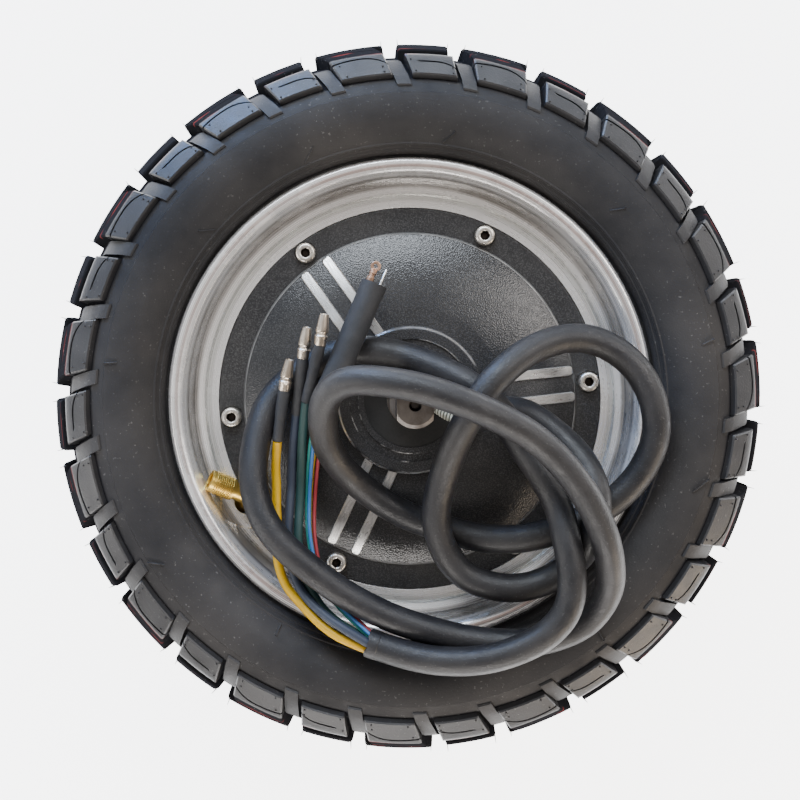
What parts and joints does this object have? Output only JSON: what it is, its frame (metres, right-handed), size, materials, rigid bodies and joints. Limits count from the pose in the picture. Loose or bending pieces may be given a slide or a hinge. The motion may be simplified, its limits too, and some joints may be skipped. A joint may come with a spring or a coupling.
{
  "type": "hub motor wheel",
  "caption": "Knobbly pneumatic tyre on an alloy rim that is also the housing of a gearless hub motor, with screwed side covers, a flatted axle and a flying cable.",
  "frame": {"origin": "centre of the wheel, on the axle's axis and in the tyre's middle plane", "axes": "+Z along the axle towards the side that the cable leaves, +Y towards the top of the wheel as stored, +X across the axle's flats"},
  "size_m": [0.255, 0.255, 0.151],
  "materials": {
    "tyre": "matte black rubber with a little grey bloom",
    "inner_tube": "smooth butyl rubber",
    "valve_brass": "bare machined brass",
    "rim_alloy": "polished cast alloy",
    "black_coat": "black powder coat, fine pebbles",
    "stainless": "plain stainless",
    "dark_steel": "dull electrical steel",
    "nickel": "dull nickel plate",
    "axle_steel": "turned and milled steel",
    "copper": "enamelled copper",
    "board_green": "solder-masked glass laminate",
    "black_plastic": "moulded epoxy",
    "cable_jacket": "dusty grey-black rubber jacket",
    "braid": "pale varnished glass braid",
    "shrink": "wrinkled heat-shrink",
    "bearing_steel": "ground bearing steel",
    "seal_rubber": "nitrile rubber",
    "lead_yellow": "silicone insulation",
    "lead_blue": "silicone insulation",
    "lead_green": "silicone insulation",
    "hall_blue": "thin insulation",
    "hall_red": "thin insulation",
    "hall_black": "thin insulation",
    "hall_green": "thin insulation",
    "hall_yellow": "thin insulation"
  },
  "bodies": {
    "axle_side": {"axle": "axle_steel", "axle_key": "dark_steel", "front_bearing_inner_race": "bearing_steel", "rear_bearing_inner_race": "bearing_steel", "stator_core": "dark_steel", "windings": "copper", "stator_carrier": "rim_alloy", "hall_board": "board_green", "hall_sensors": "black_plastic", "motor_cable": "cable_jacket", "exit_sleeve": "braid", "exit_shrink": "shrink", "lead_yellow": "lead_yellow", "lead_blue": "lead_blue", "lead_green": "lead_green", "lead_sleeve_yellow": "shrink", "lead_sleeve_blue": "shrink", "lead_sleeve_green": "shrink", "bullet_yellow": "nickel", "bullet_blue": "nickel", "bullet_green": "nickel", "hall_wire_blue": "hall_blue", "hall_wire_red": "hall_red", "hall_wire_black": "hall_black", "hall_wire_green": "hall_green", "hall_wire_yellow": "hall_yellow", "hall_sleeve": "shrink", "hall_terminals": "copper"},
    "wheel": {"tyre": "tyre", "inner_tube": "inner_tube", "valve_stem": "valve_brass", "valve_core": "valve_brass", "rim": "rim_alloy", "front_cover": "black_coat", "rear_cover": "black_coat", "front_cover_screws": "stainless", "rear_cover_screws": "stainless", "front_bearing_outer_race": "bearing_steel", "front_bearing_balls": "bearing_steel", "front_bearing_seals": "seal_rubber", "front_oil_seal": "seal_rubber", "front_gasket": "seal_rubber", "rear_bearing_outer_race": "bearing_steel", "rear_bearing_balls": "bearing_steel", "rear_bearing_seals": "seal_rubber", "rear_oil_seal": "seal_rubber", "rear_gasket": "seal_rubber", "flux_ring": "dark_steel", "magnets": "nickel"}
  },
  "joints": [
    {"name": "wheel_spin", "type": "hinge", "parent": "axle_side", "child": "wheel", "pos_m": [0, 0, 0], "axis": [0, 0, 1], "continuous": true}
  ]
}
